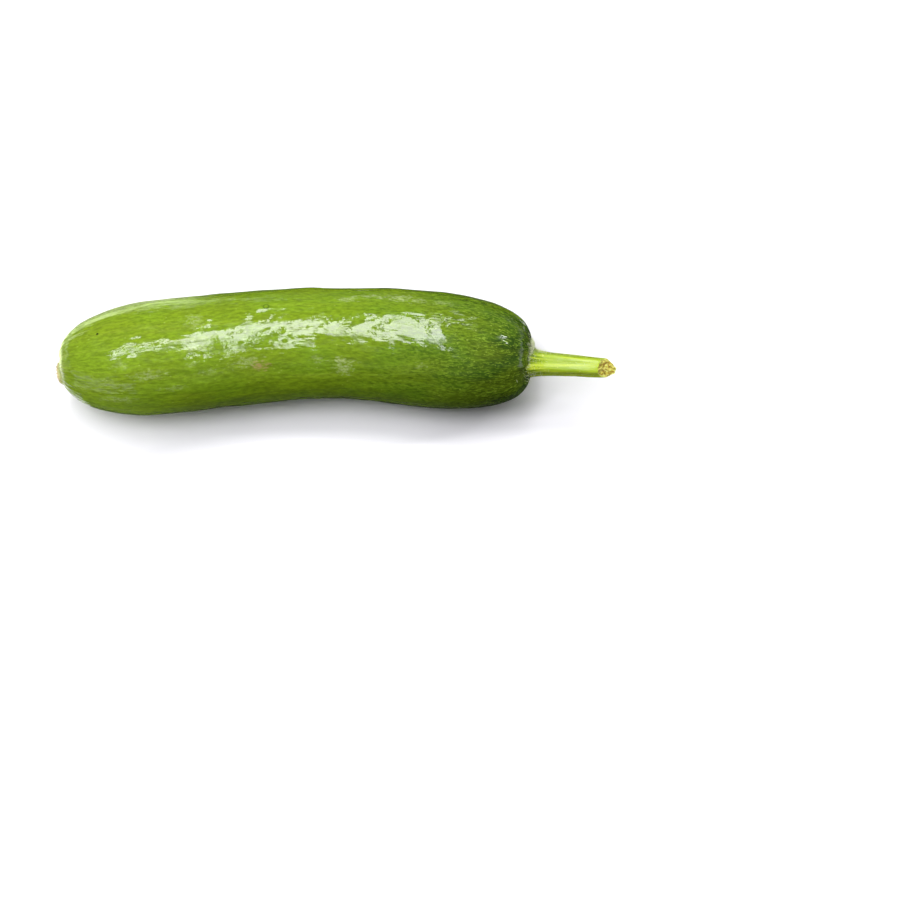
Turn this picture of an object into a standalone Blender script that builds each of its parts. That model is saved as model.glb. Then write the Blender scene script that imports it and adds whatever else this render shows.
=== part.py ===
"""A mini cucumber as picked, lying on its side: the fruit, and the cut stem on its shoulder.

The fruit points along X, with its blossom end at -X and its stem at +X. It bends sideways, bulging
towards +Y, and rests on Z = 0. The origin is under the middle of the whole object.
"""

import math

import bmesh
import bpy
from mathutils import Vector

# Driving dimensions, in metres.
FRUIT_LENGTH = 0.130
FRUIT_RADIUS = 0.0161  # of the fattest stretches, between the waist and each end
BOW = 0.0053  # how far the top of the bend stands out sideways from the straightened ends
BOW_AT = 0.54  # where the bend peaks, as a share of the length from the blossom end
BOW_SPAN = 1.09  # the share of the length over which one whole wave of the bend would run
PRESS = 0.0003  # how far the skin flattens where it carries the weight

# The two ends are blunt: each is a superellipse over its own length.
BLOSSOM_CAP, BLOSSOM_POWER = 0.0340, 2.90
STEM_CAP, STEM_POWER = 0.0266, 3.65

# A shallow waist narrows the middle, and the section is a soft triangle with one flat side down.
WAIST_DEPTH, WAIST_AT, WAIST_REACH = 0.057, 0.514, 0.19
TRIANGLE = 0.022
# Slow swellings of the skin: share of the radius, waves along the length, lobes round it, phase.
SWELLINGS = ((0.010, 1.7, 1, 0.6), (0.007, 3.1, 2, 2.4), (0.004, 5.3, 1, 4.1))

STEM_LENGTH = 0.0235
STEM_CUT_RADIUS = 0.0025
STEM_TAPER = 0.0008  # how much wider it grows down to the fruit
STEM_FLARE, STEM_FLARE_REACH = 0.0015, 0.0018  # the foot that spreads over the shoulder
STEM_OFFSET = Vector((0.0, -0.0020, -0.0003))  # its foot sits a little off the fruit's axis
STEM_SWEEP = Vector((0.0, -0.0013, 0.0012))  # how far its cut end has bent from straight ahead
STEM_ROOT = 0.0020  # the length that the shoulder cuts away
RIBS, RIB_DEPTH = 5, 0.07
SHOULDER_GAP = 0.0003  # between the stem's foot and the fruit

AROUND, RINGS = 56, 44  # the fruit's mesh
STEM_AROUND, STEM_POINTS = 40, 16


def end_cap(distance, length, power):
    """Share of the full radius at this distance from a blunt end."""
    if distance >= length:
        return 1.0
    return (1 - (1 - distance / length) ** 2) ** (1 / power)


def fruit_radius(share):
    """The mean radius at a share of the length from the blossom end."""
    waist = 1 - WAIST_DEPTH * math.exp(-(((share - WAIST_AT) / WAIST_REACH) ** 2))
    blossom = end_cap(share * FRUIT_LENGTH, BLOSSOM_CAP, BLOSSOM_POWER)
    stem = end_cap((1 - share) * FRUIT_LENGTH, STEM_CAP, STEM_POWER)
    return FRUIT_RADIUS * waist * blossom * stem


def section(share, angle):
    """Share of the mean radius at an angle round the fruit, which is 90 degrees on top."""
    shape = 1 + TRIANGLE * math.cos(3 * (angle - math.pi / 2))
    for height, waves, lobes, phase in SWELLINGS:
        shape += height * math.sin(2 * math.pi * waves * share + phase) * math.cos(lobes * angle + phase)
    return shape


def rest_height():
    """How high the spine runs, so that the flat side presses a little into the surface."""
    return FRUIT_RADIUS * (1 - TRIANGLE) - PRESS


def spine(share):
    """(point, direction) of the fruit's centre line, which is bent like one wave of a cosine."""
    turns = 2 * math.pi / BOW_SPAN
    off_peak = (share - BOW_AT) * turns
    point = Vector((share * FRUIT_LENGTH, -BOW / 2 * (1 - math.cos(off_peak)), rest_height()))
    return point, Vector((FRUIT_LENGTH, -BOW / 2 * turns * math.sin(off_peak), 0)).normalized()


def skin_point(share, angle):
    """A point of the skin, flattened where it meets the surface below."""
    centre, ahead = spine(share)
    side = Vector((-ahead.y, ahead.x, 0))
    radius = fruit_radius(share) * section(share, angle)
    point = centre + radius * (math.cos(angle) * side + math.sin(angle) * Vector((0, 0, 1)))
    point.z = max(point.z, 0)
    return point


def material(name, colour, roughness):
    made = bpy.data.materials.new(name)
    made.use_nodes = True
    shader = made.node_tree.nodes["Principled BSDF"]
    shader.inputs["Base Color"].default_value = (*colour, 1)
    shader.inputs["Roughness"].default_value = roughness
    shader.inputs["Metallic"].default_value = 0
    made.diffuse_color = (*colour, 1)
    return made


def new_object(name, mesh, collection):
    made = bpy.data.objects.new(name, mesh)
    collection.objects.link(made)
    return made


def build_fruit(collection):
    """A sphere drawn out along the spine. Its poles become the two ends of the fruit."""
    shape = bmesh.new()
    bmesh.ops.create_uvsphere(shape, u_segments=AROUND, v_segments=RINGS, radius=1)
    for vertex in shape.verts:
        share = min(max((1 + vertex.co.z) / 2, 0), 1)
        vertex.co = skin_point(share, math.atan2(vertex.co.y, vertex.co.x))
    bmesh.ops.recalc_face_normals(shape, faces=shape.faces)
    mesh = bpy.data.meshes.new("fruit")
    shape.to_mesh(mesh)
    shape.free()
    mesh.shade_smooth()
    mesh.set_sharp_from_angle(angle=math.radians(60))
    mesh.materials.append(material("cucumber_skin", (0.19, 0.33, 0.03), 0.25))
    return new_object("fruit", mesh, collection)


def rib_outline(collection):
    """The stem's section, a circle drawn out into five rounded ribs. It is a guide."""
    curve = bpy.data.curves.new("rib_outline", "CURVE")
    curve.dimensions = "2D"
    spline = curve.splines.new("POLY")
    spline.points.add(STEM_AROUND - 1)
    spline.use_cyclic_u = True
    for number, point in enumerate(spline.points):
        angle = 2 * math.pi * number / STEM_AROUND
        radius = STEM_CUT_RADIUS * (1 + RIB_DEPTH * math.cos(RIBS * angle))
        point.co = (radius * math.cos(angle), radius * math.sin(angle), 0, 1)
    guide = new_object("rib_outline", curve, collection)
    guide.hide_render = True
    guide.display_type = "WIRE"
    return guide


def stem_radius(along):
    """The stem's radius at a distance from the fruit's shoulder."""
    taper = STEM_TAPER * (1 - along / STEM_LENGTH)
    return STEM_CUT_RADIUS + taper + STEM_FLARE * math.exp(-along / STEM_FLARE_REACH)


def build_stem_curve(guides):
    """A tube from inside the shoulder to the cut end, bending as it goes."""
    foot, ahead = spine(1.0)
    curve = bpy.data.curves.new("stem_curve", "CURVE")
    curve.dimensions = "3D"
    curve.bevel_mode = "OBJECT"
    curve.bevel_object = rib_outline(guides)
    curve.use_fill_caps = True
    spline = curve.splines.new("POLY")
    spline.points.add(STEM_POINTS - 1)
    for number, point in enumerate(spline.points):
        # The points crowd towards the foot, where the radius changes fastest.
        grown = (number / (STEM_POINTS - 1)) ** 1.5
        along = -STEM_ROOT + (STEM_LENGTH + STEM_ROOT) * grown
        bend = max(along / STEM_LENGTH, 0) ** 1.3
        straight = foot + STEM_OFFSET + along * ahead
        point.co = (*(straight + bend * STEM_SWEEP), 1)
        point.radius = stem_radius(max(along, 0)) / STEM_CUT_RADIUS
    return new_object("stem_curve", curve, guides)


def shoulder_cutter(fruit, guides):
    """The fruit grown by the gap, to cut the stem's foot to the shoulder's shape."""
    cutter = new_object("shoulder_cutter", fruit.data.copy(), guides)
    grow = cutter.modifiers.new("grow", "DISPLACE")
    grow.strength = SHOULDER_GAP
    grow.mid_level = 0
    cutter.hide_render = True
    cutter.display_type = "WIRE"
    return cutter


def build_stem(fruit, collection, guides):
    """The ribbed tube as a mesh, cut where it meets the fruit."""
    tube = build_stem_curve(guides)
    graph = bpy.context.evaluated_depsgraph_get()
    mesh = bpy.data.meshes.new_from_object(tube.evaluated_get(graph))
    mesh.name = "stem"
    welded = bmesh.new()
    welded.from_mesh(mesh)
    bmesh.ops.remove_doubles(welded, verts=welded.verts, dist=0.00001)
    bmesh.ops.recalc_face_normals(welded, faces=welded.faces)
    welded.to_mesh(mesh)
    welded.free()
    mesh.materials.clear()
    mesh.materials.append(material("stem_green", (0.42, 0.55, 0.08), 0.5))
    stem = new_object("stem", mesh, collection)
    stem.matrix_world = tube.matrix_world
    bpy.data.objects.remove(tube)
    cut = stem.modifiers.new("shoulder", "BOOLEAN")
    cut.operation = "DIFFERENCE"
    cut.object = shoulder_cutter(fruit, guides)
    mesh.shade_smooth()
    mesh.set_sharp_from_angle(angle=math.radians(40))
    return stem


def stand_on_origin(parts, guides, collection):
    """Parents everything to an empty that puts the middle of the object's underside at the origin."""
    bpy.context.view_layer.update()
    graph = bpy.context.evaluated_depsgraph_get()
    corners = []
    for part in parts:
        corners += [Vector(corner) for corner in part.evaluated_get(graph).bound_box]
    frame = new_object("cucumber_frame", None, collection)
    for part in [*parts, *guides.objects]:
        part.parent = frame
    for axis in (0, 1):
        values = [corner[axis] for corner in corners]
        frame.location[axis] = -(min(values) + max(values)) / 2


def main():
    for old in list(bpy.data.objects):
        bpy.data.objects.remove(old)
    collection = bpy.data.collections.new("cucumber")
    guides = bpy.data.collections.new("guides")
    for made in (collection, guides):
        bpy.context.scene.collection.children.link(made)
    fruit = build_fruit(collection)
    stem = build_stem(fruit, collection, guides)
    stand_on_origin([fruit, stem], guides, collection)


main()
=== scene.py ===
"""The looks of a small cucumber as picked: its striped, glossy skin, its ribbed stem and its hairs.

Lengths are in metres and colours are linear, unless a comment says otherwise. The skin and the stem
each carry a map of themselves in millimetres, which holds how far along a point is and where it is
round the piece. All patterns are laid out on these maps, so that they run along the cucumber, meet
without a seam and draw together at its ends.
"""

import math
import random

import bmesh
import bpy
import numpy as np
from mathutils import Matrix, Vector, noise


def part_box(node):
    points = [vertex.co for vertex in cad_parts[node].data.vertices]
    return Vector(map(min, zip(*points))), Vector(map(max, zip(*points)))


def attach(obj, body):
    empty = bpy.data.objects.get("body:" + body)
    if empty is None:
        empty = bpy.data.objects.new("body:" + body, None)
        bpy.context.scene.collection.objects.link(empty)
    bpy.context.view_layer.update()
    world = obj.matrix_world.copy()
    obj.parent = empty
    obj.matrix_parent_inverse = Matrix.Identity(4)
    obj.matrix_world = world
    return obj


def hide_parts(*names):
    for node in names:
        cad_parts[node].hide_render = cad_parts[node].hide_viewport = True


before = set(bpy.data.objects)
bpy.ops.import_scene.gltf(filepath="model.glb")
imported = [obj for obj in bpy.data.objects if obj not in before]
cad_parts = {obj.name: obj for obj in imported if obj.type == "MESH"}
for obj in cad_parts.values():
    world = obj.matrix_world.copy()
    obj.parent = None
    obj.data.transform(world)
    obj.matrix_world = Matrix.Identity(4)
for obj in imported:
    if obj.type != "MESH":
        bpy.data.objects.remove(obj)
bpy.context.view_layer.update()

MM = 0.001

# ------------ sizes

# The fruit's shape, as the CAD has it.
FRUIT_LENGTH = 0.130
FRUIT_RADIUS = 0.0161
BOW, BOW_AT, BOW_SPAN = 0.0053, 0.54, 1.09
PRESS = 0.0003
BLOSSOM_CAP, BLOSSOM_POWER = 0.0340, 2.90
STEM_CAP, STEM_POWER = 0.0266, 3.65
WAIST_DEPTH, WAIST_AT, WAIST_REACH = 0.057, 0.514, 0.19
TRIANGLE = 0.022
SWELLINGS = ((0.010, 1.7, 1, 0.6), (0.007, 3.1, 2, 2.4), (0.004, 5.3, 1, 4.1))

# The stem's shape, as the CAD has it.
STEM_LENGTH = 0.0235
STEM_CUT_RADIUS = 0.0025
STEM_TAPER = 0.0008
STEM_FLARE, STEM_FLARE_REACH = 0.0015, 0.0018
STEM_OFFSET = np.array((0.0, -0.0020, -0.0003))
STEM_SWEEP, SWEEP_POWER = np.array((0.0, -0.0013, 0.0012)), 1.3
STEM_ROOT = 0.0020
RIBS, RIB_DEPTH = 5, 0.07

# What the looks add to the stem's shape.
FLARE_LEAST = 0.3  # the share of the foot's spread on its least spread side
STEM_WOBBLE, WOBBLE_LENGTH = 0.035, 6.0  # a share of the radius, and millimetres

# The fine meshes.
SKIN_AROUND, SKIN_RINGS = 288, 320
END_DENSITY, END_REACH = 2.0, 0.006  # rings crowd by this much within this reach of each end
STEM_AROUND, STEM_RINGS = 120, 150
RING_CROWD = 1.15  # the power by which the stem's rings crowd towards its foot
SKIN_MAP_RADIUS, STEM_MAP_RADIUS = FRUIT_RADIUS / MM, 3.0  # in millimetres

# Relief of the skin: height, wavelengths along and round in millimetres, and which pattern. In the first
# three rows, a search program fitted the height and the pattern to the photo's highlight.
RELIEF = (
    (0.00042, 30.0, 16.0, 8.0),
    (0.00028, 12.0, 5.5, 72.1),
    (0.00012, 6.0, 2.7, 73.3),
    (0.00003, 2.8, 1.5, 21.9),
)
# Creases run where the first pattern passes zero, and show where the second one is high.
CREASE_DEPTH, CREASE_WIDTH = 0.00006, 0.13
CREASE_LINES, CREASE_SHOWS = (11.0, 3.6, 65.7), (14.0, 7.0, 73.0)
CREASE_CONTRAST, CREASE_SHARE = 4.0, 0.4
# Shallow folds that run from the stem's foot and wander a little. The reach is in millimetres.
FLUTES, FLUTE_DEPTH, FLUTE_REACH, FLUTE_TURN = 10, 0.00018, 14.0, 0.6
FLUTE_WANDER, FLUTE_PATTERN = 0.35, (14.0, 9.0, 0.0)
# Low knobs and hollows: height, share of the length, degrees round, and how far they reach along and
# round in millimetres. The last four rows came from the same search.
KNOBS = (
    (0.00030, 0.525, 27, 5.0, 3.6),
    (0.00025, 0.700, 40, 3.5, 2.5),
    (0.00030, 0.360, 300, 4.0, 3.0),
    (-0.00040, 0.196, 91, 16.0, 5.7),
    (-0.00040, 0.237, 127, 5.9, 6.8),
    (0.00020, 0.618, 87, 14.1, 3.5),
    (0.00017, 0.6925, 100, 8.4, 4.5),
)

# The dried blossom's scar on the tip, in millimetres. Its middle is off the pole, sideways and down.
SCAR_RADIUS, SCAR_OFFSET = 2.9, (-2.6, -0.4)
SCAR_RAGGED, SCAR_EDGE = 0.45, 0.13
SCAR_RISE = 0.85  # the heights below are shares of it
SCAR_LEVEL, SCAR_ROUGH, SCAR_DISH = 0.9, 0.40, 0.45
MOAT_AT, MOAT_WIDTH, MOAT_DEPTH = 0.9, 0.6, 0.22  # where the skin dips outside its edge
SCAR_WITHIN = 9.0  # how far along the skin any of it reaches

# The dry collar on the skin round the stem's foot, in millimetres.
COLLAR_RADIUS, COLLAR_WIDTH, COLLAR_RISE = 5.10, 0.34, 0.12
COLLAR_RAGGED = 0.5
COLLAR_LEVEL, COLLAR_BEADS = 0.6, 0.8  # its mean height and its beads, as shares of its rise
# Its share beside the stem, the sideways distance over which it falls by one, and its least share.
COLLAR_FADE = (0.8, 6.0, 0.12)
COLLAR_WITHIN = 16.0  # how far along the skin any of it reaches

# The stem's cut: a slanting face with a blunt point, crumbled, with a ring of fibre bundles.
CUT_SLANT = 0.92  # how far back it leans, per unit of height
CUT_POINT, POINT_SIDE = 0.45, 0.55  # how far its sides fall behind its point, which is off to one side
CUT_STARTS = 0.012  # the distance along the stem from which the cut pulls on the mesh
CUT_RINGS, CUT_INSETS = 14, (0.96, 0.04)
CUT_EDGE = 0.0010  # how far the cut's colour creeps down the stem
CUT_RIM = 0.15  # how far in from its rim the cut's colour comes into its own, as a share of the radius
CRUMBS = 0.00042
DISH = 0.00040
FIBRES, FIBRE_HEIGHT = 11, 0.00016
FIBRE_RING, FIBRE_WIDTH = 0.72, 0.13

# The hairs.
HAIRS = 1500
HAIR_LENGTH = (0.00035, 0.00125)
HAIR_THICK = 0.000032
HAIR_WAIST = 0.7  # how thick a hair is at its bend, as a share
HAIR_SUNK, HAIR_SCATTER = 0.00008, 0.00015
HAIR_PARTS, HAIR_LEANS = (0.55, 0.45), (0.45, 0.90)  # below and above its bend
HAIR_FORWARD = 0.25  # how much they lean along the stem above it
HAIR_FADE = (0.60, 0.008, 0.20)  # like the collar's, in metres
# On the skin: the distances from the stem's axis where they start and where they begin to fade, over
# how far they fade, and how far back along the fruit any of them are.
SKIN_HAIRS_FROM, SKIN_HAIRS_FULL, SKIN_HAIRS_REACH = 0.0046, 0.0050, 0.0008
SKIN_HAIRS_BACK = 0.012
# On the stem: over how far they fade, the share that stays, and the stretch of the stem that has any.
STEM_HAIRS_REACH, STEM_HAIRS_FEW, STEM_HAIRS_SPAN = 0.0016, 0.03, (-0.0008, 0.018)

# A matted tuft on the far upper side of the stem's foot. Its angles are in degrees, and its distances
# are from the stem's axis.
TUFT_HAIRS = 150
TUFT_ANGLE, TUFT_SPREAD, TIP_SPREAD = 48.0, 26.0, 0.3
TUFT_ROOT, TUFT_SHORT, TUFT_REACH = 0.0046, 0.0048, 0.0078

# ------------ colours and patterns

# The skin's colours, from the blossom end to the shoulder.
YELLOW_GREEN = (0.152, 0.246, 0.0100)
LEAF_GREEN = (0.138, 0.236, 0.0085)
MID_GREEN = (0.110, 0.198, 0.0075)
DARK_GREEN = (0.062, 0.124, 0.0056)
SHOULDER_GREEN = (0.022, 0.053, 0.0034)
PALE_DASH = (0.170, 0.275, 0.0200)
PALE_LINE = (0.230, 0.320, 0.0250)
OLIVE = (0.155, 0.205, 0.0060)
SPECK = (0.280, 0.380, 0.0500)
# A pale haze: partly water marks, partly painted sheen.
PALE_HAZE_AND_SHEEN = (0.400, 0.480, 0.1900)
RIM_CREAM = (0.520, 0.570, 0.2200)
SCAR_CREAM, SCAR_BROWN = (0.68, 0.56, 0.30), (0.33, 0.17, 0.08)
COLLAR_PALE = (0.330, 0.400, 0.150)
SCUFF_TAN, PIT_DARK = (0.42, 0.27, 0.13), (0.008, 0.014, 0.003)

STEM_GREEN = (0.250, 0.370, 0.0140)
STEM_PALE = (0.430, 0.535, 0.0340)
STEM_DEEP = (0.085, 0.150, 0.0060)
CUT_TAN, CUT_BROWN = (0.470, 0.410, 0.040), (0.250, 0.150, 0.008)
CUT_CREAM, CUT_OLIVE = (0.680, 0.610, 0.150), (0.170, 0.150, 0.008)
CUT_RIND = (0.600, 0.620, 0.140)
HAIR_DULL, HAIR_PALE = (0.56, 0.63, 0.32), (0.83, 0.87, 0.60)

# Patterns of the skin: wavelengths along and round in millimetres, which pattern, detail, roughness.
STREAKS = (9.0, 1.1, 1, 3.0, 0.55)
MOTTLE = (9.0, 6.0, 3, 3.0, 0.55)
DASHES = (1.3, 0.42, 2, 3.0, 0.65)
DASH_CLUMPS = (6.0, 2.4, 8, 2.0)
LINES = (50.0, 1.7, 4, 3.0, 0.5)
DRIFT = (16.0, 8.0, 5, 2.0)
GRAIN = (1.8, 0.7, 6, 3.0, 0.60)
SPECK_PATCHES = (9.0, 5.0, 7)
MARK_EDGES = (1.5, 0.8, 21, 3.0, 0.6)
STIPPLE = (0.60, 0.40, 22, 3.0, 0.6)
RAYS = (9.0, 0.8, 14, 3.0, 0.6)
SCAR_BROWNS = (0.8, 0.8, 9, 3.0)
CRUST = (0.6, 0.5, 15, 2.0)
WEAR = (6.0, 3.0, 10, 4.0, 0.6)
FLAKES = (3.6, 1.6, 11, 2.0, 0.35)
PEBBLES = (0.75, 0.55, 12, 1.0, 0.5)
PEBBLE_PATCHES = (9.0, 5.0, 13, 2.0)
RIDGES = (36.0, 1.7, 16, 2.0, 0.5)

# Patterns of the stem and its cut.
STEM_FIBRES = (14.0, 0.42, 1, 3.0, 0.55)
STEM_SHEEN = (3.0, 0.8, 4, 3.0)
STEM_GROOVES = (9.0, 0.35, 5, 2.0)
CUT_CRUMBS = (1.1, 1.1, 3, 3.0, 0.55)
CUT_HOLES = (0.9, 0.9, 6, 2.0)
CUT_RAGGED = (0.9, 0.7, 8, 3.0, 0.6)
CUT_GRIT = (0.45, 0.45, 7, 2.0)

# Gloss, and how high the finest relief is.
SKIN_ROUGHNESS, STEM_ROUGHNESS = (0.085, 0.22), (0.17, 0.30)
DRY_ROUGHNESS, CUT_ROUGHNESS, HAIR_ROUGHNESS = 0.75, 0.70, 0.60
FLAKE_HEIGHT, GROOVE_HEIGHT = 0.00018, 0.00012

# Small marks on the skin: share of the length, degrees round, radius in millimetres. A haze also has
# how many times longer it is than wide, and its strength. Most were read off the photo, and a program
# worked out where these places are on the skin.
# The hazes are pale patches: partly water marks on the skin, partly painted sheen.
HAZE_AND_SHEEN_MARKS = (
    (0.308, 84, 2.0, 1.2, 0.46),
    (0.615, 134, 1.0, 3.4, 0.75),
    (0.618, 142, 1.9, 1.3, 0.70),
    (0.560, 132, 1.0, 1.8, 0.45),
    (0.620, 64, 1.3, 1.8, 0.70),
    (0.665, 58, 1.2, 2.5, 0.65),
    (0.724, 59, 1.6, 2.2, 0.75),
    (0.760, 62, 1.0, 3.0, 0.50),
    (0.815, 62, 1.1, 3.0, 0.35),
    (0.640, 43, 0.5, 6.0, 0.60),
    (0.200, 134, 1.4, 3.2, 0.48),
    (0.145, 121, 1.3, 1.6, 0.30),
    (0.120, 140, 1.1, 2.2, 0.30),
    (0.327, 137, 1.0, 3.0, 0.36),
    (0.290, 128, 0.8, 2.5, 0.34),
    (0.405, 131, 1.6, 2.6, 0.55),
    (0.131, 164, 1.4, 3.4, 0.34),
    (0.245, 152, 1.0, 3.2, 0.30),
    (0.783, 133, 0.9, 1.6, 0.40),
    (0.300, 112, 1.6, 1.6, 0.34),
    (0.520, 262, 3.0, 1.4, 0.50),
    (0.740, 18, 2.2, 1.4, 0.50),
)
SCUFFS = ((0.434, 137, 1.5), (0.250, 300, 2.2))
PITS = ((0.100, 82, 0.34), (0.335, 205, 0.30), (0.820, 330, 0.30))
RING_MARKS = ((0.454, 74, 0.72), (0.600, 247, 0.80))

# ------------ stage and camera

FLOOR_SIZE = 30.0
FLOOR_WHITE = (0.80, 0.80, 0.805)
FLOOR_GLOW, GLOW_FROM, GLOW_TO = 1.20, 0.30, 1.00  # the far floor glows, past the reach of the lights
FLOOR_LIFT, LIFT_EDGE = 0.32, (0.75, 1.15)  # its edge is in shares of a flag's half size

# Shapes round the fruit that no camera sees, which stand in for the other fruit of a pile. Most are
# dark: they put dark reflections low down in its gloss, and those that stop bounced light put painted
# shade on its lower side. The pale ones put pale reflections there. Name, middle, half of each size,
# whether it also stops bounced light, tone.
DARK, PALE = (0.012, 0.022, 0.004), (0.330, 0.400, 0.180)
FLAGS = (
    ("front_flag", (-0.008, -0.0350, 0.017), (0.052, 0.016, 0.017), True, DARK),
    ("near_right_flag", (0.052, -0.0350, 0.017), (0.044, 0.016, 0.017), True, DARK),
    ("under_stem_flag", (0.066, -0.0120, 0.004), (0.021, 0.016, 0.004), False, DARK),
    ("rear_flag", (0.020, 0.0400, 0.015), (0.066, 0.017, 0.015), False, DARK),
    ("floor_flag", (0.016, -0.0750, 0.0004), (0.122, 0.090, 0.0001), False, DARK),
    ("left_floor_flag", (-0.106, -0.0500, 0.0006), (0.031, 0.041, 0.0001), False, DARK),
    ("rear_floor_flag", (0.005, 0.0300, 0.0012), (0.055, 0.030, 0.0001), False, DARK),
    ("rear_left_flag", (-0.052, 0.0230, 0.0008), (0.034, 0.016, 0.0001), False, PALE),
    ("corner_floor_flag", (0.090, 0.0300, 0.0008), (0.045, 0.045, 0.0001), False, DARK),
    ("corner_gap", (0.056, 0.0235, 0.0016), (0.011, 0.0045, 0.0001), False, FLOOR_WHITE),
    ("left_flag", (-0.120, -0.0100, 0.0100), (0.014, 0.030, 0.0115), False, DARK),
    ("right_flag", (0.110, 0.0300, 0.0090), (0.012, 0.035, 0.0100), False, DARK),
)

# A pale green card on the floor behind, seen in reflections alone, as the pile's next fruit would be.
CARD_PLACE, CARD_SIZE, CARD_TURN = (-0.245, 0.362, 0.0008), (0.28, 0.78), 25.0
CARD_GLOW, CARD_GREEN = (0.6, 3.4), (0.84, 1.0, 0.56)
# Its bands are a pattern of how far across the card a point is and the logarithm of how far along, both
# in shares of its size. The distance along counts from just before its near end.
CARD_BANDS = (0.34, 0.34, 4, 2.0, 0.5)
CARD_NEAR = 0.56

# Soft boxes that face straight down: name, place, size, turn in degrees, radiance, and whether the
# skin's gloss shows them. The places, sizes and turns of the first five came from RELIEF's search.
LIGHTS = (
    ("overhead_box", (-0.085, 0.009, 0.80), (0.153, 0.623), -8.3, 12.5, True),
    ("far_box", (-0.032, 0.511, 0.80), (0.110, 0.347), 0.0, 11.5, True),
    ("near_box", (-0.060, -0.490, 0.80), (0.060, 0.305), 0.0, 11.0, True),
    ("side_box", (-0.324, -0.145, 0.80), (0.417, 0.096), 53.7, 12.5, True),
    ("corner_box", (0.208, 0.836, 0.80), (0.289, 0.159), 6.0, 9.0, True),
    ("low_box", (0.82, 0.24, 0.80), (0.25, 0.05), 0.0, 42.0, True),
    ("fill_box", (0.0, -0.08, 0.80), (1.50, 1.50), 0.0, 1.75, False),
)
LIGHT_TINT, FILL_TINT = (0.94, 0.925, 1.0), (1.0, 1.0, 1.0)
ROOM_GLOW = 0.13

# The camera: its angles in degrees, how far it is from the place it looks at, and its lens.
AZIMUTH, ELEVATION, ROLL = 8.0, 68.0, -8.1
DISTANCE, AIM = 0.5892, Vector((0.0304, -0.0243, 0.0))
LENS = 85.0


# ------------ shapes


def end_cap(distance, length, power):
    """Share of the full radius at this distance from a blunt end."""
    inside = np.clip(1 - distance / length, 0, 1)
    return (1 - inside**2) ** (1 / power)


def fruit_radius(share):
    """The mean radius at a share of the length from the blossom end."""
    waist = 1 - WAIST_DEPTH * np.exp(-(((share - WAIST_AT) / WAIST_REACH) ** 2))
    blossom = end_cap(share * FRUIT_LENGTH, BLOSSOM_CAP, BLOSSOM_POWER)
    stem = end_cap((1 - share) * FRUIT_LENGTH, STEM_CAP, STEM_POWER)
    return FRUIT_RADIUS * waist * blossom * stem


def section(share, angle):
    """Share of the mean radius at an angle round the fruit."""
    shape = 1 + TRIANGLE * np.cos(3 * (angle - math.pi / 2))
    for height, turns, lobes, phase in SWELLINGS:
        swelling = height * np.sin(2 * math.pi * turns * share + phase)
        shape = shape + swelling * np.cos(lobes * angle + phase)
    return shape


def spine(share):
    """(points, directions) of the fruit's centre line, before it is placed."""
    turns = 2 * math.pi / BOW_SPAN
    off_peak = (share - BOW_AT) * turns
    height = np.full_like(share, FRUIT_RADIUS * (1 - TRIANGLE) - PRESS)
    points = np.column_stack([share * FRUIT_LENGTH, -BOW / 2 * (1 - np.cos(off_peak)), height])
    sideways = -BOW / 2 * turns * np.sin(off_peak)
    ahead = np.column_stack([np.full_like(share, FRUIT_LENGTH), sideways, np.zeros_like(share)])
    return points, ahead / np.linalg.norm(ahead, axis=1)[:, None]


def skin_points(share, angle):
    """Points of the smooth skin, before it is placed."""
    centre, ahead = spine(share)
    side = np.column_stack([-ahead[:, 1], ahead[:, 0], np.zeros_like(share)])
    radius = (fruit_radius(share) * section(share, angle))[:, None]
    up = np.array((0.0, 0.0, 1.0))
    points = centre + radius * (np.cos(angle)[:, None] * side + np.sin(angle)[:, None] * up)
    points[:, 2] = np.maximum(points[:, 2], 0)
    return points


def walked_along():
    """(shares, distances): how far over the skin each share of the length is from the blossom end."""
    shares = (1 - np.cos(np.linspace(0, math.pi, 4001))) / 2
    profile = np.column_stack([shares * FRUIT_LENGTH, fruit_radius(shares)])
    steps = np.linalg.norm(np.diff(profile, axis=0), axis=1)
    return shares, np.concatenate([[0], np.cumsum(steps)])


def ring_shares(evenly):
    """The share of the length of each ring. Rings are even over the skin, and closer at its ends."""
    shares, walked = walked_along()
    near_blossom = np.exp(-((walked / END_REACH) ** 2))
    near_stem = np.exp(-(((walked[-1] - walked) / END_REACH) ** 2))
    crowd = np.cumsum(np.gradient(walked) * (1 + END_DENSITY * (near_blossom + near_stem)))
    crowd = (crowd - crowd[0]) / (crowd[-1] - crowd[0])
    return np.interp(evenly, crowd, shares)


def coordinates(mesh):
    flat = np.empty(len(mesh.vertices) * 3, np.float32)
    mesh.vertices.foreach_get("co", flat)
    return flat.reshape(-1, 3).astype(float)


def normals(mesh):
    flat = np.empty(len(mesh.vertices) * 3, np.float32)
    mesh.vertices.foreach_get("normal", flat)
    return flat.reshape(-1, 3).astype(float)


def set_coordinates(mesh, points):
    mesh.vertices.foreach_set("co", points.astype(np.float32).ravel())
    mesh.update()


def set_map(mesh, name, values):
    """Keeps a map on the mesh, for its material to read."""
    attribute = mesh.attributes.new(name, "FLOAT_VECTOR", "POINT")
    attribute.data.foreach_set("vector", values.astype(np.float32).ravel())


def set_share(mesh, name, values):
    """Keeps one number from 0 to 1 per point on the mesh, for its material to read."""
    attribute = mesh.attributes.new(name, "FLOAT", "POINT")
    attribute.data.foreach_set("value", values.astype(np.float32))


def new_piece(name, mesh):
    made = bpy.data.objects.new(name, mesh)
    bpy.context.scene.collection.objects.link(made)
    return made


# ------------ the fruit


def waves(at, along, around, pattern):
    """Soft noise on the map, with two wavelengths in millimetres. Each number gives another pattern."""
    return noise.noise(Vector((at[0] / along + pattern, at[1] / around, at[2] / around)))


def across(side, up, fineness, pattern):
    """Soft noise over an end of the fruit or the stem. Each number gives another pattern."""
    return noise.noise(Vector((fineness * side, fineness * up, pattern)))


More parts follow.
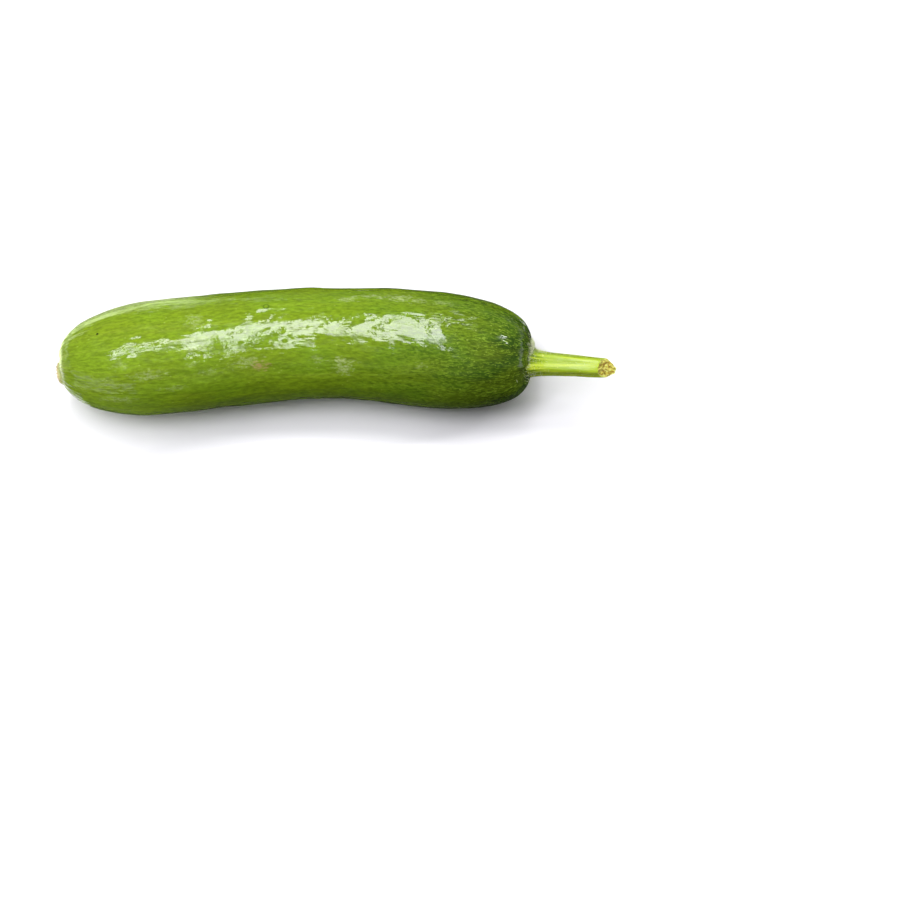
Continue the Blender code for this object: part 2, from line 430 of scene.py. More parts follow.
def relief(at):
    """Bumps of all sizes, and creases in broken lines."""
    total = 0
    for height, along, around, pattern in RELIEF:
        total += height * waves(at, along, around, pattern)
    line = math.exp(-((waves(at, *CREASE_LINES) / CREASE_WIDTH) ** 2))
    shown = min(max(CREASE_CONTRAST * waves(at, *CREASE_SHOWS) + CREASE_SHARE, 0), 1)
    return total - CREASE_DEPTH * line * shown


def flutes(at, whole):
    """Shallow folds on the shoulder, which fade out along the fruit."""
    from_stem = whole - at[0]
    angle = math.atan2(at[2], at[1]) + FLUTE_WANDER * waves(at, *FLUTE_PATTERN)
    fade = math.exp(-((from_stem / FLUTE_REACH) ** 2))
    return FLUTE_DEPTH * fade * math.cos(FLUTES * angle + FLUTE_TURN)


def knobs(share, angle):
    total = 0
    for height, at_share, degrees, along, around in KNOBS:
        off_along = (share - at_share) * FRUIT_LENGTH / MM / along
        turn = (angle - math.radians(degrees) + math.pi) % (2 * math.pi) - math.pi
        off_around = turn * FRUIT_RADIUS / MM / around
        total += height * math.exp(-(off_along**2) - off_around**2)
    return total


def scar(point):
    """(share, rise) of the scar at a point in millimetres from the blossom pole."""
    side, up = point[1] - SCAR_OFFSET[0], point[2] - SCAR_OFFSET[1]
    away = math.hypot(side, up) - SCAR_RAGGED * across(side, up, 0.8, 4.0)
    share = 1 / (1 + math.exp((away - SCAR_RADIUS) / SCAR_EDGE))
    rough = SCAR_ROUGH * across(side, up, 1.9, 1.0)
    dish = SCAR_DISH * math.exp(-(away**2))
    moat = MOAT_DEPTH * math.exp(-(((away - SCAR_RADIUS - MOAT_AT) / MOAT_WIDTH) ** 2))
    return share, SCAR_RISE * MM * (share * (SCAR_LEVEL + rough - dish) - moat)


def faded(off, level, reach, least):
    """A share that is full on the far side of the stem, and falls to its least on the near side."""
    return np.clip(off / reach + level, least, 1)


def collar(point):
    """(share, rise) of the collar at a point in millimetres from the middle of the stem's foot."""
    side, up = point[1], point[2]
    off = math.hypot(side, up) - COLLAR_RADIUS - COLLAR_RAGGED * across(side, up, 1.1, 8.0)
    share = math.exp(-((off / COLLAR_WIDTH) ** 2)) * faded(side, *COLLAR_FADE)
    beads = COLLAR_LEVEL + COLLAR_BEADS * across(side, up, 1.7, 3.0)
    return share, COLLAR_RISE * MM * share * beads


def skin_grid():
    """(mesh, share of the length, angle) of a sphere whose rings are spaced for the fruit."""
    grid = bmesh.new()
    bmesh.ops.create_uvsphere(grid, u_segments=SKIN_AROUND, v_segments=SKIN_RINGS, radius=1)
    mesh = bpy.data.meshes.new("fruit_skin")
    grid.to_mesh(mesh)
    grid.free()
    ball = coordinates(mesh)
    evenly = 1 - np.arccos(np.clip(ball[:, 2], -1, 1)) / math.pi
    return mesh, ring_shares(evenly), np.arctan2(ball[:, 1], ball[:, 0])


def build_skin():
    """(piece, length over the skin in millimetres): the CAD's shape, with its relief and its map."""
    mesh, share, angle = skin_grid()
    points = skin_points(share, angle)
    set_coordinates(mesh, points)
    outward = normals(mesh)
    if outward[np.argmax(points[:, 2]), 2] < 0:
        mesh.flip_normals()
        outward = -outward
    shares, walked = walked_along()
    along = np.interp(share, shares, walked) / MM
    whole = walked[-1] / MM
    side, up = SKIN_MAP_RADIUS * np.cos(angle), SKIN_MAP_RADIUS * np.sin(angle)
    skin_map = np.column_stack([along, side, up])
    set_map(mesh, "skin_map", skin_map)
    blossom = (points - spine(np.array([0.0]))[0][0]) / MM
    foot = (points - stem_line(np.array([0.0]))[0]) / MM
    rise, scarred, collared = np.zeros((3, len(points)))
    for number, at in enumerate(skin_map):
        rise[number] = relief(at) + flutes(at, whole) + knobs(share[number], angle[number])
        if at[0] < SCAR_WITHIN:
            scarred[number], more = scar(blossom[number])
            rise[number] += more
        if whole - at[0] < COLLAR_WITHIN:
            collared[number], more = collar(foot[number])
            rise[number] += more
    set_share(mesh, "scar", scarred)
    set_share(mesh, "collar", collared)
    points = points + outward * rise[:, None]
    points[:, 2] = np.maximum(points[:, 2], 0)
    set_coordinates(mesh, points)
    mesh.shade_smooth()
    return new_piece("fruit_skin", mesh), whole


# ------------ the stem


def stem_radius(along, turn):
    """The radius at a distance from the shoulder. Its foot spreads most towards one side."""
    taper = STEM_TAPER * (1 - along / STEM_LENGTH)
    spread = FLARE_LEAST + (1 - FLARE_LEAST) * (1 + np.cos(turn - math.radians(TUFT_ANGLE))) / 2
    return STEM_CUT_RADIUS + taper + STEM_FLARE * spread * np.exp(-along / STEM_FLARE_REACH)


def stem_line(along):
    """Points of the stem's centre line, before it is placed."""
    foot, ahead = spine(np.array([1.0]))
    bend = np.clip(along / STEM_LENGTH, 0, None) ** SWEEP_POWER
    straight = foot[0] + STEM_OFFSET + along[:, None] * ahead[0]
    return straight + bend[:, None] * STEM_SWEEP


def cut_back(angle, inset):
    """How far the cut face lies behind the stem's full length, at an angle and an inset."""
    side, up = inset * math.cos(angle), inset * math.sin(angle)
    crumbs = CRUMBS * across(side, up, 3.2, 5.0)
    fibre = FIBRE_HEIGHT * math.cos(FIBRES * angle)
    fibre *= math.exp(-(((inset - FIBRE_RING) / FIBRE_WIDTH) ** 2))
    back = STEM_CUT_RADIUS * (CUT_SLANT * (1 + up) + CUT_POINT * (side - POINT_SIDE) ** 2)
    return back + DISH * (1 - inset**2) - crumbs - fibre


def stem_loop(along, turn, inset):
    """(points, map) of one ring of the stem. An inset below 1 makes a ring of the cut face."""
    ribs = 1 + RIB_DEPTH * np.cos(RIBS * turn)
    radius = stem_radius(max(along, 0.0), turn) * ribs
    pull = min(max((along - CUT_STARTS) / (STEM_LENGTH - CUT_STARTS), 0.0), 1.0) ** 3
    points, places = [], []
    for number, angle in enumerate(turn):
        side, up = inset * math.cos(angle), inset * math.sin(angle)
        wobble = noise.noise(Vector((along / MM / WOBBLE_LENGTH, 1.7 * side, 1.7 * up)))
        reached = along - pull * cut_back(angle, inset)
        centre = stem_line(np.array([reached]))[0]
        length = radius[number] * (1 + STEM_WOBBLE * wobble)
        points.append(centre + length * np.array((0, side, up)))
        places.append((reached / MM, STEM_MAP_RADIUS * side, STEM_MAP_RADIUS * up))
    return points, places


def stem_rings():
    """(distance along, inset) of each ring: up the tube, and then in over the cut face."""
    whole = STEM_LENGTH + STEM_ROOT
    tube = [(-STEM_ROOT + whole * ring**RING_CROWD, 1.0) for ring in np.linspace(0, 1, STEM_RINGS)]
    return tube + [(STEM_LENGTH, inset) for inset in np.linspace(*CUT_INSETS, CUT_RINGS)]


def cut_share(along, inset):
    """0 down the stem, a half on the cut's rim and 1 inside it."""
    towards_rim = 0.5 * max(1 - (STEM_LENGTH - along) / CUT_EDGE, 0)
    return towards_rim + 0.5 * min((1 - inset) / CUT_RIM, 1)


def build_stem():
    """The stem: a ribbed tube that closes in a crumbled cut face."""
    turn = np.linspace(0, 2 * math.pi, STEM_AROUND, endpoint=False)
    rings = stem_rings()
    shape = bmesh.new()
    loops, stem_map = [], []
    for along, inset in rings:
        points, places = stem_loop(along, turn, inset)
        loops.append([shape.verts.new(point) for point in points])
        stem_map += places
    for near, far in zip(loops, loops[1:]):
        for number in range(STEM_AROUND):
            after = (number + 1) % STEM_AROUND
            shape.faces.new((near[number], near[after], far[after], far[number]))
    shape.faces.new(loops[-1])
    shape.faces.new(list(reversed(loops[0])))
    bmesh.ops.recalc_face_normals(shape, faces=shape.faces)
    mesh = bpy.data.meshes.new("cut_stem")
    shape.to_mesh(mesh)
    shape.free()
    set_map(mesh, "stem_map", np.array(stem_map))
    set_share(mesh, "cut", np.repeat([cut_share(*ring) for ring in rings], STEM_AROUND))
    mesh.shade_smooth()
    mesh.set_sharp_from_angle(angle=math.radians(50))
    return new_piece("cut_stem", mesh)


# ------------ the hairs


def skin_roots(points, foot):
    """How likely a hair is at each point of the skin: most by the collar, fading out from it."""
    away = np.hypot(points[:, 1] - foot[1], points[:, 2] - foot[2])
    near = np.exp(-np.clip(away - SKIN_HAIRS_FULL, 0, None) / SKIN_HAIRS_REACH)
    likely = near * faded(points[:, 1] - foot[1], *HAIR_FADE)
    return likely * (away > SKIN_HAIRS_FROM) * (points[:, 0] > foot[0] - SKIN_HAIRS_BACK)


def stem_roots(points, foot):
    """How likely a hair is at each point of the stem: most at its foot, with a few further up."""
    along = points[:, 0] - foot[0]
    near = np.exp(-np.clip(along, 0, None) / STEM_HAIRS_REACH) + STEM_HAIRS_FEW
    likely = near * faded(points[:, 1] - foot[1], *HAIR_FADE)
    return likely * (along > STEM_HAIRS_SPAN[0]) * (along < STEM_HAIRS_SPAN[1])


def build_hairs(skin, stem):
    """Fine pale hairs: thick in a ring where the stem meets the fruit, with one matted tuft."""
    chance = random.Random(7)
    foot = stem_line(np.array([0.0]))[0]
    shape = bmesh.new()
    for piece, likely in ((skin, skin_roots), (stem, stem_roots)):
        points, outward = coordinates(piece.data), normals(piece.data)
        total = np.cumsum(likely(points, foot))
        for _ in range(HAIRS // 2):
            number = int(np.searchsorted(total, chance.random() * total[-1]))
            lean = Vector([chance.uniform(-1, 1) for _ in range(3)])
            out = Vector(outward[number])
            start = Vector(points[number]) - HAIR_SUNK * out + HAIR_SCATTER * lean
            length = chance.uniform(*HAIR_LENGTH)
            ahead = (out + HAIR_LEANS[0] * lean).normalized()
            bend = (out + HAIR_LEANS[1] * lean + Vector((HAIR_FORWARD, 0, 0))).normalized()
            middle = start + HAIR_PARTS[0] * length * ahead
            add_hair(shape, start, middle, middle + HAIR_PARTS[1] * length * bend)
    add_tuft(shape, chance, Vector(foot))
    mesh = bpy.data.meshes.new("fine_hairs")
    shape.to_mesh(mesh)
    shape.free()
    mesh.shade_smooth()
    return new_piece("fine_hairs", mesh)


def add_tuft(shape, chance, foot):
    """Longer hairs that lean together to one tip, which lies on the shoulder."""
    for _ in range(TUFT_HAIRS):
        off = chance.gauss(0, 0.45)
        angle = math.radians(TUFT_ANGLE + TUFT_SPREAD * off)
        start = foot + TUFT_ROOT * Vector((0.06, math.cos(angle), math.sin(angle)))
        start.x += chance.uniform(0.0, 0.0008)
        tip_angle = math.radians(TUFT_ANGLE + TIP_SPREAD * TUFT_SPREAD * off)
        reach = TUFT_SHORT + (TUFT_REACH - TUFT_SHORT) * chance.uniform(0.25, 1.0)
        tip = foot + reach * Vector((0.05, math.cos(tip_angle), math.sin(tip_angle)))
        middle = (start + tip) / 2
        middle.x += chance.uniform(0.0001, 0.0006)
        add_hair(shape, start, middle, tip)


def add_hair(shape, start, middle, tip):
    """One hair: a thin three-sided spike, bent at its middle."""
    ahead = (middle - start).normalized()
    side = ahead.orthogonal().normalized() * HAIR_THICK
    other = ahead.cross(side)
    base, waist = [], []
    for number in range(3):
        angle = 2 * math.pi * number / 3
        around = math.cos(angle) * side + math.sin(angle) * other
        base.append(shape.verts.new(start + around))
        waist.append(shape.verts.new(middle + HAIR_WAIST * around))
    top = shape.verts.new(tip)
    shape.faces.new(list(reversed(base)))
    for number in range(3):
        after = (number + 1) % 3
        shape.faces.new((base[number], base[after], waist[after], waist[number]))
        shape.faces.new((waist[number], waist[after], top))


# ------------ materials


class Finish:
    """A material, with short calls that add a node, set it and join it up."""

    def __init__(self, name, map_name=None):
        self.material = bpy.data.materials.new(name)
        self.material.use_nodes = True
        self.tree = self.material.node_tree
        self.shader = self.tree.nodes["Principled BSDF"]
        if map_name:
            reader = self.tree.nodes.new("ShaderNodeAttribute")
            reader.attribute_name = map_name
            self.map = reader.outputs["Vector"]

    def join(self, value, socket):
        """Feeds a socket from another one, or sets it."""
        if isinstance(value, bpy.types.NodeSocket):
            self.tree.links.new(value, socket)
        else:
            socket.default_value = value

    def feed(self, name, value):
        """Feeds or sets one of the shader's own sockets."""
        self.join(value, self.shader.inputs[name])

    def maths(self, operation, first, second=0.0, third=0.0):
        node = self.tree.nodes.new("ShaderNodeMath")
        node.operation = operation
        for value, socket in zip((first, second, third), node.inputs):
            self.join(value, socket)
        return node.outputs[0]

    def times(self, first, second):
        return self.maths("MULTIPLY", first, second)

    def scaled(self, vector, by, shift=(0.0, 0.0, 0.0)):
        node = self.tree.nodes.new("ShaderNodeVectorMath")
        node.operation = "MULTIPLY_ADD"
        for value, socket in zip((vector, by, shift), node.inputs):
            self.join(value, socket)
        return node.outputs[0]

    def parts(self, vector):
        node = self.tree.nodes.new("ShaderNodeSeparateXYZ")
        self.join(vector, node.inputs[0])
        return node.outputs

    def object_place(self):
        """Where a point is in the object's own frame."""
        return self.tree.nodes.new("ShaderNodeTexCoord").outputs["Object"]

    def share(self, name):
        """A number kept on the mesh."""
        reader = self.tree.nodes.new("ShaderNodeAttribute")
        reader.attribute_name = name
        return reader.outputs["Fac"]

    def noise(self, along, around, number=0, detail=2.0, roughness=0.5):
        """Noise on the map with two wavelengths in millimetres. Each number gives another pattern."""
        node = self.tree.nodes.new("ShaderNodeTexNoise")
        by = (1 / along, 1 / around, 1 / around)
        shift = (11.7 * number, 3.1 * number, 5.9 * number)
        self.join(self.scaled(self.map, by, shift), node.inputs["Vector"])
        node.inputs["Scale"].default_value = 1.0
        node.inputs["Detail"].default_value = detail
        node.inputs["Roughness"].default_value = roughness
        return node.outputs["Fac"]

    def spots(self, apart, number=0, stretch=1.0):
        """Distance from the nearest of many scattered points, this far apart in millimetres."""
        node = self.tree.nodes.new("ShaderNodeTexVoronoi")
        by = (1 / (apart * stretch), 1 / apart, 1 / apart)
        shift = (4.3 * number, 1.9 * number, 8.7 * number)
        self.join(self.scaled(self.map, by, shift), node.inputs["Vector"])
        node.inputs["Scale"].default_value = 1.0
        return node.outputs["Distance"]

    def away_from(self, centre, stretch=(1.0, 1.0, 1.0)):
        """Distance on the map from a place."""
        shift = tuple(-by * at for by, at in zip(stretch, centre))
        node = self.tree.nodes.new("ShaderNodeVectorMath")
        node.operation = "LENGTH"
        self.join(self.scaled(self.map, stretch, shift), node.inputs[0])
        return node.outputs["Value"]

    def between(self, value, low, high, to_low=0.0, to_high=1.0):
        """Goes smoothly from one value to another as the input goes from low to high."""
        node = self.tree.nodes.new("ShaderNodeMapRange")
        node.interpolation_type = "SMOOTHSTEP"
        for given, socket in zip((value, low, high, to_low, to_high), node.inputs):
            self.join(given, socket)
        return node.outputs["Result"]

    def ramp(self, value, stops):
        node = self.tree.nodes.new("ShaderNodeValToRGB")
        self.join(value, node.inputs[0])
        elements = node.color_ramp.elements
        while len(elements) < len(stops):
            elements.new(0.5)
        for element, (place, colour) in zip(elements, stops):
            element.position = place
            element.color = (*colour, 1)
        return node.outputs["Color"]

    def mixed(self, share, first, second, way="MIX"):
        """A colour that goes from the first to the second."""
        node = self.tree.nodes.new("ShaderNodeMix")
        node.data_type = "RGBA"
        node.blend_type = way
        colours = [(*c, 1) if isinstance(c, tuple) else c for c in (first, second)]
        for given, socket in zip((share, *colours), (node.inputs[0], node.inputs[6], node.inputs[7])):
            self.join(given, socket)
        return node.outputs[2]

    def mixed_values(self, share, first, second):
        """A number that goes from the first value to the second."""
        return self.maths("MULTIPLY_ADD", share, self.maths("SUBTRACT", second, first), first)

    def bumped(self, height, distance):
        node = self.tree.nodes.new("ShaderNodeBump")
        node.inputs["Strength"].default_value = 1.0
        node.inputs["Distance"].default_value = distance
        self.join(height, node.inputs["Height"])
        self.feed("Normal", node.outputs["Normal"])


def map_place(share, degrees):
    """Where a share of the length and an angle are on the skin's map."""
    shares, walked = walked_along()
    along = float(np.interp(share, shares, walked)) / MM
    angle = math.radians(degrees)
    return along, SKIN_MAP_RADIUS * math.cos(angle), SKIN_MAP_RADIUS * math.sin(angle)


def ground_colour(finish, from_stem, whole):
    """Yellow-green at the blossom end, leaf green in the middle and dark at the shoulder.

    Streaks and mottle shift the colours along by some millimetres. The side of the fruit shifts them
    too, so the near side is darker and the far side lighter: partly the fruit's own tone, partly painted
    shade.
    """
    streaks = finish.noise(*STREAKS)
    mottle = finish.noise(*MOTTLE)
    side = finish.parts(finish.map)[1]
    moved = finish.maths("MULTIPLY_ADD", finish.maths("SUBTRACT", streaks, 0.5), 24.0, from_stem)
    moved = finish.maths("MULTIPLY_ADD", finish.maths("SUBTRACT", mottle, 0.5), 14.0, moved)
    # Painted shade, partly the fruit's own tone: the near side, towards -Y, goes towards the shoulder's
    # dark green.
    moved = finish.maths("MULTIPLY_ADD", side, 0.50, moved)
    stops = (
        (0.085, SHOULDER_GREEN),
        (0.155, DARK_GREEN),
        (0.270, MID_GREEN),
        (0.420, LEAF_GREEN),
        (0.920, YELLOW_GREEN),
    )
    return finish.ramp(finish.maths("DIVIDE", moved, whole), stops)


def streaked(finish, base, from_stem):
    """Long faint lines that draw together at the blossom end, slow drifts of hue, and a soft grain."""
    lines = finish.between(finish.noise(*LINES), 0.50, 0.66)
    far_from_stem = finish.between(from_stem, 40.0, 95.0)
    base = finish.mixed(finish.times(finish.times(lines, far_from_stem), 0.32), base, PALE_LINE)
    drift = finish.between(finish.noise(*DRIFT), 0.38, 0.62)
    base = finish.mixed(finish.times(drift, 0.30), base, OLIVE)
    grain = finish.between(finish.noise(*GRAIN), 0.30, 0.70, 0.39, 0.61)
    factor = finish.ramp(grain, ((0.0, (0.0, 0.0, 0.0)), (1.0, (2.0, 2.0, 2.0))))
    return finish.mixed(1.0, base, factor, "MULTIPLY")


def dashed(finish, base, from_stem):
    """Short pale and dark dashes, which cover the shoulder and thin out along the fruit."""
    dashes = finish.noise(*DASHES)
    clumps = finish.between(finish.noise(*DASH_CLUMPS), 0.36, 0.60, 0.45, 1.0)
    near_stem = finish.times(finish.between(from_stem, 24.0, 70.0, 1.0, 0.22), clumps)
    pale = finish.times(finish.between(dashes, 0.51, 0.62), near_stem)
    base = finish.mixed(finish.times(pale, 0.80), base, PALE_DASH)
    dark = finish.times(finish.between(dashes, 0.48, 0.38), near_stem)
    return finish.mixed(finish.times(dark, 0.60), base, SHOULDER_GREEN)


def speckled(finish, base, from_stem):
    """Tiny pale specks, in patches, and densely by the shoulder."""
    patches = finish.between(finish.noise(*SPECK_PATCHES), 0.42, 0.60)
    specks = finish.between(finish.spots(1.5, 1, 1.4), 0.07, 0.19, 0.60, 0.0)
    base = finish.mixed(finish.times(specks, patches), base, SPECK)
    dense = finish.between(finish.spots(0.95, 3, 1.3), 0.08, 0.22, 0.45, 0.0)
    near_stem = finish.between(from_stem, 12.0, 55.0, 1.0, 0.0)
    return finish.mixed(finish.times(dense, near_stem), base, SPECK)


def marked(finish, base):
    """Hazes and scuffs with ragged edges, pits, and ring scars. The pale hazes are partly water marks,
    partly painted sheen.
    """
    ragged = finish.maths("SUBTRACT", finish.noise(*MARK_EDGES), 0.5)
    stipple = finish.between(finish.noise(*STIPPLE), 0.30, 0.68, 0.15, 1.0)
    for share, degrees, radius, longer, strength in HAZE_AND_SHEEN_MARKS:
        away = finish.away_from(map_place(share, degrees), (1 / longer, 1.0, 1.0))
        away = finish.maths("MULTIPLY_ADD", ragged, -4.5 * radius, away)
        soft = finish.between(away, 0.0, 1.35 * radius, strength, 0.0)
        base = finish.mixed(finish.times(soft, stipple), base, PALE_HAZE_AND_SHEEN)
    for share, degrees, radius in SCUFFS:
        away = finish.away_from(map_place(share, degrees), (0.7, 1.0, 1.0))
        away = finish.maths("MULTIPLY_ADD", ragged, -4.0 * radius, away)
        base = finish.mixed(finish.between(away, 0.0, 1.4 * radius, 0.60, 0.0), base, SCUFF_TAN)
    for share, degrees, radius in PITS:
        away = finish.away_from(map_place(share, degrees))
        there = finish.between(away, 0.7 * radius, 1.3 * radius, 1.0, 0.0)
        base = finish.mixed(there, base, PIT_DARK)
    for share, degrees, radius in RING_MARKS:
        off = finish.maths("SUBTRACT", finish.away_from(map_place(share, degrees)), radius)
        there = finish.between(finish.maths("ABSOLUTE", off), 0.10, 0.34, 0.75, 0.0)
        base = finish.mixed(there, base, DARK_GREEN)
    return base


def with_pale_end(finish, base, along):
    """The blossom end pales towards its scar, in rays."""
    rays = finish.noise(*RAYS)
    rim = finish.between(finish.maths("MULTIPLY_ADD", rays, 9.0, along), 10.0, 15.5, 0.62, 0.0)
    rim = finish.times(rim, finish.between(rays, 0.40, 0.58, 0.45, 1.0))
    return finish.mixed(rim, base, RIM_CREAM)


def with_dry_patches(finish, base, scarred, collared):
    """The scar is cream with brown patches, and the collar is a pale, broken crust."""
    browns = finish.between(finish.noise(*SCAR_BROWNS), 0.48, 0.64)
    base = finish.mixed(scarred, base, finish.mixed(browns, SCAR_CREAM, SCAR_BROWN))
    crust = finish.between(finish.noise(*CRUST), 0.46, 0.60, 0.05, 0.90)
    return finish.mixed(finish.times(collared, crust), base, COLLAR_PALE)


def skin_bump(finish):
    """The finest relief: flaky bumps and lengthwise ridges all over, and a pebbled grain in patches."""
    pebbled = finish.between(finish.noise(*PEBBLE_PATCHES), 0.45, 0.60, 0.03, 0.20)
    fine = finish.maths("MULTIPLY_ADD", finish.noise(*PEBBLES), pebbled, finish.noise(*FLAKES))
    return finish.maths("MULTIPLY_ADD", finish.noise(*RIDGES), 0.8, fine)


def skin_material(whole):
    """Glossy where it is whole, and dull on the scar and the collar."""
    finish = Finish("cucumber_skin", "skin_map")
    along = finish.parts(finish.map)[0]
    from_stem = finish.maths("SUBTRACT", whole, along)
    scarred, collared = finish.share("scar"), finish.share("collar")
    base = ground_colour(finish, from_stem, whole)
    base = streaked(finish, base, from_stem)
    base = dashed(finish, base, from_stem)
    base = speckled(finish, base, from_stem)
    base = marked(finish, base)
    base = with_pale_end(finish, base, along)
    base = with_dry_patches(finish, base, scarred, collared)
    finish.feed("Base Color", base)
    dry = finish.maths("MAXIMUM", scarred, collared)
    worn = finish.between(finish.noise(*WEAR), 0.48, 0.68, *SKIN_ROUGHNESS)
    finish.feed("Roughness", finish.mixed_values(dry, worn, DRY_ROUGHNESS))
    finish.bumped(skin_bump(finish), FLAKE_HEIGHT)
    finish.feed("IOR", 1.5)
    return finish.material


def stem_ground(finish, along):
    """Pale green with long fibres, darker where the shoulder's colour runs up its foot."""
    fibres = finish.noise(*STEM_FIBRES)
    base = finish.mixed(finish.between(fibres, 0.42, 0.66), STEM_GREEN, STEM_PALE)
    foot = finish.times(finish.between(along, 4.5, -0.5), finish.between(fibres, 0.60, 0.42))
    base = finish.mixed(foot, base, STEM_DEEP)
    dots = finish.between(finish.spots(0.9, 2, 1.3), 0.10, 0.26, 0.50, 0.0)
    near_foot = finish.between(along, 1.0, 7.0, 1.0, 0.10)
    base = finish.mixed(finish.times(dots, near_foot), base, STEM_DEEP)
    return finish.mixed(finish.between(along, 10.0, 19.0, 0.0, 0.35), base, STEM_PALE)


def cut_colour(finish):
    """Crumbly tan, with cream crumbs and olive holes."""
    crumbs = finish.noise(*CUT_CRUMBS)
    base = finish.mixed(finish.between(crumbs, 0.42, 0.56), CUT_BROWN, CUT_TAN)
    base = finish.mixed(finish.between(crumbs, 0.56, 0.66), base, CUT_CREAM)
    holes = finish.between(finish.noise(*CUT_HOLES), 0.58, 0.68, 0.0, 0.85)
    return finish.mixed(holes, base, CUT_OLIVE)


def stem_material():
    """The stem and its cut, which meet in a ragged line with a pale rind inside it."""
    finish = Finish("stem_green", "stem_map")
    along = finish.parts(finish.map)[0]
    ragged = finish.maths("SUBTRACT", finish.noise(*CUT_RAGGED), 0.5)
    share = finish.share("cut")
    cut_there = finish.between(finish.maths("MULTIPLY_ADD", ragged, 2.4, share), 0.40, 0.58)
    inside = finish.between(finish.maths("MULTIPLY_ADD", ragged, 1.2, share), 0.80, 0.98)
    cut = finish.mixed(inside, CUT_RIND, cut_colour(finish))
    finish.feed("Base Color", finish.mixed(cut_there, stem_ground(finish, along), cut))
    gloss = finish.between(finish.noise(*STEM_SHEEN), 0.35, 0.65, *STEM_ROUGHNESS)
    finish.feed("Roughness", finish.mixed_values(cut_there, gloss, CUT_ROUGHNESS))
    rough = finish.mixed_values(cut_there, finish.noise(*STEM_GROOVES), finish.noise(*CUT_GRIT))
    finish.bumped(rough, GROOVE_HEIGHT)
    finish.feed("Specular IOR Level", 0.45)
    return finish.material


def hair_material():
    finish = Finish("hair_white")
    finish.map = finish.scaled(finish.object_place(), (1 / MM,) * 3)
    tone = finish.between(finish.noise(2.0, 2.0, 1), 0.35, 0.65)
    finish.feed("Base Color", finish.mixed(tone, HAIR_DULL, HAIR_PALE))
    finish.feed("Roughness", HAIR_ROUGHNESS)
    return finish.material


def floor_material():
    """White, with a glow far away, and with the shade of the flags made good for camera rays alone."""
    finish = Finish("floor_white")
    finish.map = finish.object_place()
    far = finish.between(finish.away_from((0.0, 0.0, 0.0)), GLOW_FROM, GLOW_TO, 0.0, FLOOR_GLOW)
    lift = 0.0
    for _, middle, halves, stops_bounce, _ in FLAGS:
        if stops_bounce:
            away = finish.away_from((middle[0], middle[1], 0.0), (1 / halves[0], 1 / halves[1], 0.0))
            lift = finish.maths("ADD", lift, finish.between(away, *LIFT_EDGE, FLOOR_LIFT, 0.0))
    camera_ray = finish.tree.nodes.new("ShaderNodeLightPath").outputs["Is Camera Ray"]
    finish.feed("Emission Color", (1, 1, 1, 1))
    finish.feed("Emission Strength", finish.maths("MULTIPLY_ADD", lift, camera_ray, far))
    finish.feed("Base Color", (*FLOOR_WHITE, 1))
    finish.feed("Roughness", 0.9)
    finish.feed("Specular IOR Level", 0.1)
    return finish.material


def card_material():
    """A glow in uneven bands, which crowd towards the card's near end."""
    finish = Finish("card_glow")
    side, away, _ = finish.parts(finish.object_place())
    depth = finish.maths("LOGARITHM", finish.maths("ADD", away, CARD_NEAR), math.e)
    join = finish.tree.nodes.new("ShaderNodeCombineXYZ")
    finish.join(side, join.inputs["X"])
    finish.join(depth, join.inputs["Y"])
    finish.map = join.outputs[0]
    bands = finish.between(finish.noise(*CARD_BANDS), 0.44, 0.56, *CARD_GLOW)
    finish.feed("Base Color", (0, 0, 0, 1))
    finish.feed("Emission Color", (*CARD_GREEN, 1))
    finish.feed("Emission Strength", bands)
    return finish.material


# ------------ stage


def build_floor():
    bpy.ops.mesh.primitive_plane_add(size=FLOOR_SIZE)
    floor = bpy.context.object
    floor.name = "floor"
    floor.data.materials.append(floor_material())


# Shapes no camera sees, which put shade and dark or pale reflections on the fruit.
def build_flags():
    for name, middle, halves, stops_bounce, tone in FLAGS:
        finish = Finish(name)
        finish.feed("Base Color", (*tone, 1))
        bpy.ops.mesh.primitive_uv_sphere_add(segments=64, ring_count=32, location=middle, scale=halves)
        flag = bpy.context.object
        flag.name = name
        flag.data.materials.append(finish.material)
        flag.visible_camera = False
        flag.visible_shadow = False
        flag.visible_diffuse = stops_bounce


def build_card():
    turn = (0, 0, math.radians(CARD_TURN))
    bpy.ops.mesh.primitive_plane_add(size=1, location=CARD_PLACE, rotation=turn)
    card = bpy.context.object
    card.name = "rear_card"
    card.scale = (*CARD_SIZE, 1)
    card.data.materials.append(card_material())
    card.visible_camera = False
    card.visible_shadow = False
    card.visible_diffuse = False


def build_world():
    """Dim, even light from all round. The camera sees a white backdrop."""
    world = bpy.data.worlds.new("studio")
    bpy.context.scene.world = world
    world.use_nodes = True
    nodes, links = world.node_tree.nodes, world.node_tree.links
    room = nodes["Background"]
    room.inputs["Color"].default_value = (1.0, 1.0, 1.0, 1)
    room.inputs["Strength"].default_value = ROOM_GLOW
    backdrop = nodes.new("ShaderNodeBackground")
    backdrop.inputs["Color"].default_value = (1.0, 1.0, 1.0, 1)
    ray = nodes.new("ShaderNodeLightPath")
    either = nodes.new("ShaderNodeMixShader")
    links.new(ray.outputs["Is Camera Ray"], either.inputs[0])
    links.new(room.outputs[0], either.inputs[1])
    links.new(backdrop.outputs[0], either.inputs[2])
    links.new(either.outputs[0], nodes["World Output"].inputs["Surface"])


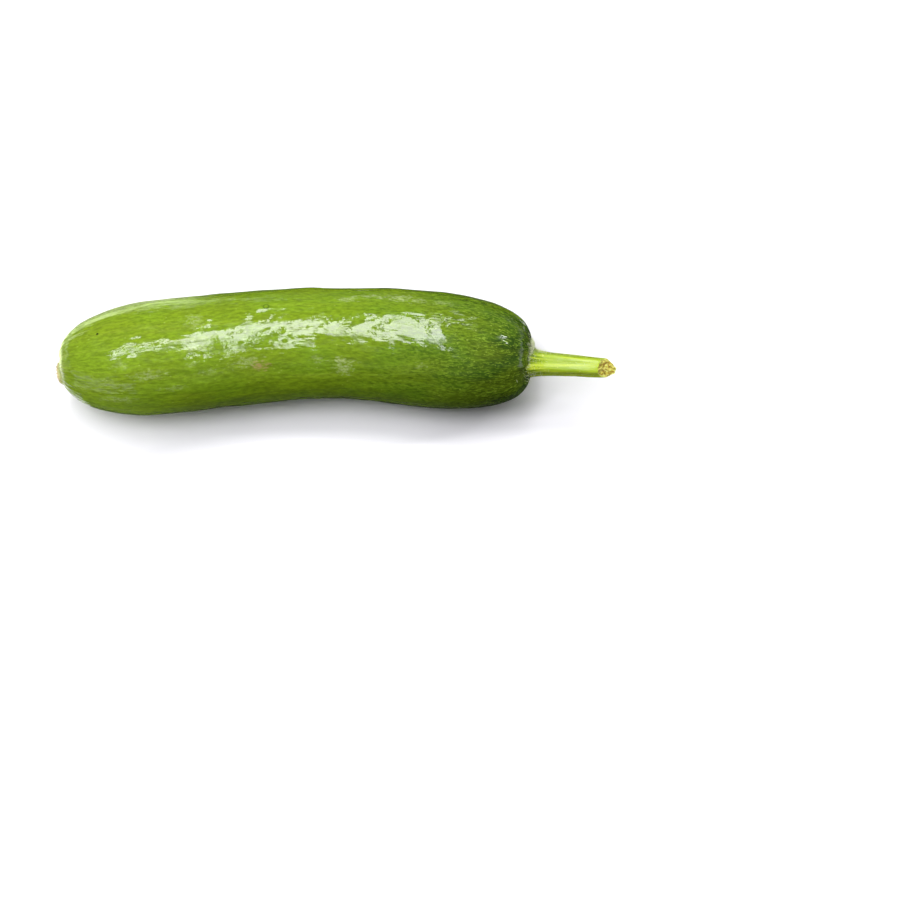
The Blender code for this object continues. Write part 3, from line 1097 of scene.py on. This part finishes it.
def build_lights():
    """No camera sees the lights themselves."""
    for name, place, size, turn, radiance, in_gloss in LIGHTS:
        data = bpy.data.lights.new(name, "AREA")
        data.shape = "RECTANGLE"
        data.size, data.size_y = size
        data.energy = radiance * math.pi * size[0] * size[1]
        data.color = LIGHT_TINT if in_gloss else FILL_TINT
        light = bpy.data.objects.new(name, data)
        bpy.context.scene.collection.objects.link(light)
        light.location = place
        light.rotation_euler.z = math.radians(turn)
        light.visible_camera = False
        light.visible_glossy = in_gloss


def build_camera():
    azimuth, elevation, roll = (math.radians(a) for a in (AZIMUTH, ELEVATION, ROLL))
    flat = math.cos(elevation)
    back = Vector((math.sin(azimuth) * flat, -math.cos(azimuth) * flat, math.sin(elevation)))
    right = Vector((0, 0, 1)).cross(back).normalized()
    up = back.cross(right)
    turned_right = right * math.cos(roll) + up * math.sin(roll)
    turned_up = up * math.cos(roll) - right * math.sin(roll)
    facing = Matrix((turned_right, turned_up, back)).transposed().to_4x4()
    data = bpy.data.cameras.new("camera")
    data.lens = LENS
    data.clip_start, data.clip_end = 0.01, 50
    camera = bpy.data.objects.new("camera", data)
    bpy.context.scene.collection.objects.link(camera)
    camera.matrix_world = Matrix.Translation(AIM + DISTANCE * back) @ facing
    bpy.context.scene.camera = camera


# ------------ making it


def frame_shift():
    """The move that lays the smooth skin on the CAD's fruit."""
    share, angle = np.meshgrid(np.linspace(0, 1, 400), np.linspace(0, 2 * math.pi, 240))
    points = skin_points(share.ravel(), angle.ravel())
    low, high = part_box("fruit")
    middle = np.array((low + high) / 2)
    shift = middle - (points.min(0) + points.max(0)) / 2
    shift[2] = 0
    return shift


def main():
    bpy.context.scene.view_settings.view_transform = "Standard"
    skin, whole = build_skin()
    stem = build_stem()
    hairs = build_hairs(skin, stem)
    shift = frame_shift()
    for piece in (skin, stem, hairs):
        set_coordinates(piece.data, coordinates(piece.data) + shift)
    skin.data.materials.append(skin_material(whole))
    stem.data.materials.append(stem_material())
    hairs.data.materials.append(hair_material())
    for piece in (skin, stem, hairs):
        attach(piece, "root")
    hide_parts("fruit")
    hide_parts("stem")
    build_floor()
    build_flags()
    build_card()
    build_world()
    build_lights()
    build_camera()


main()
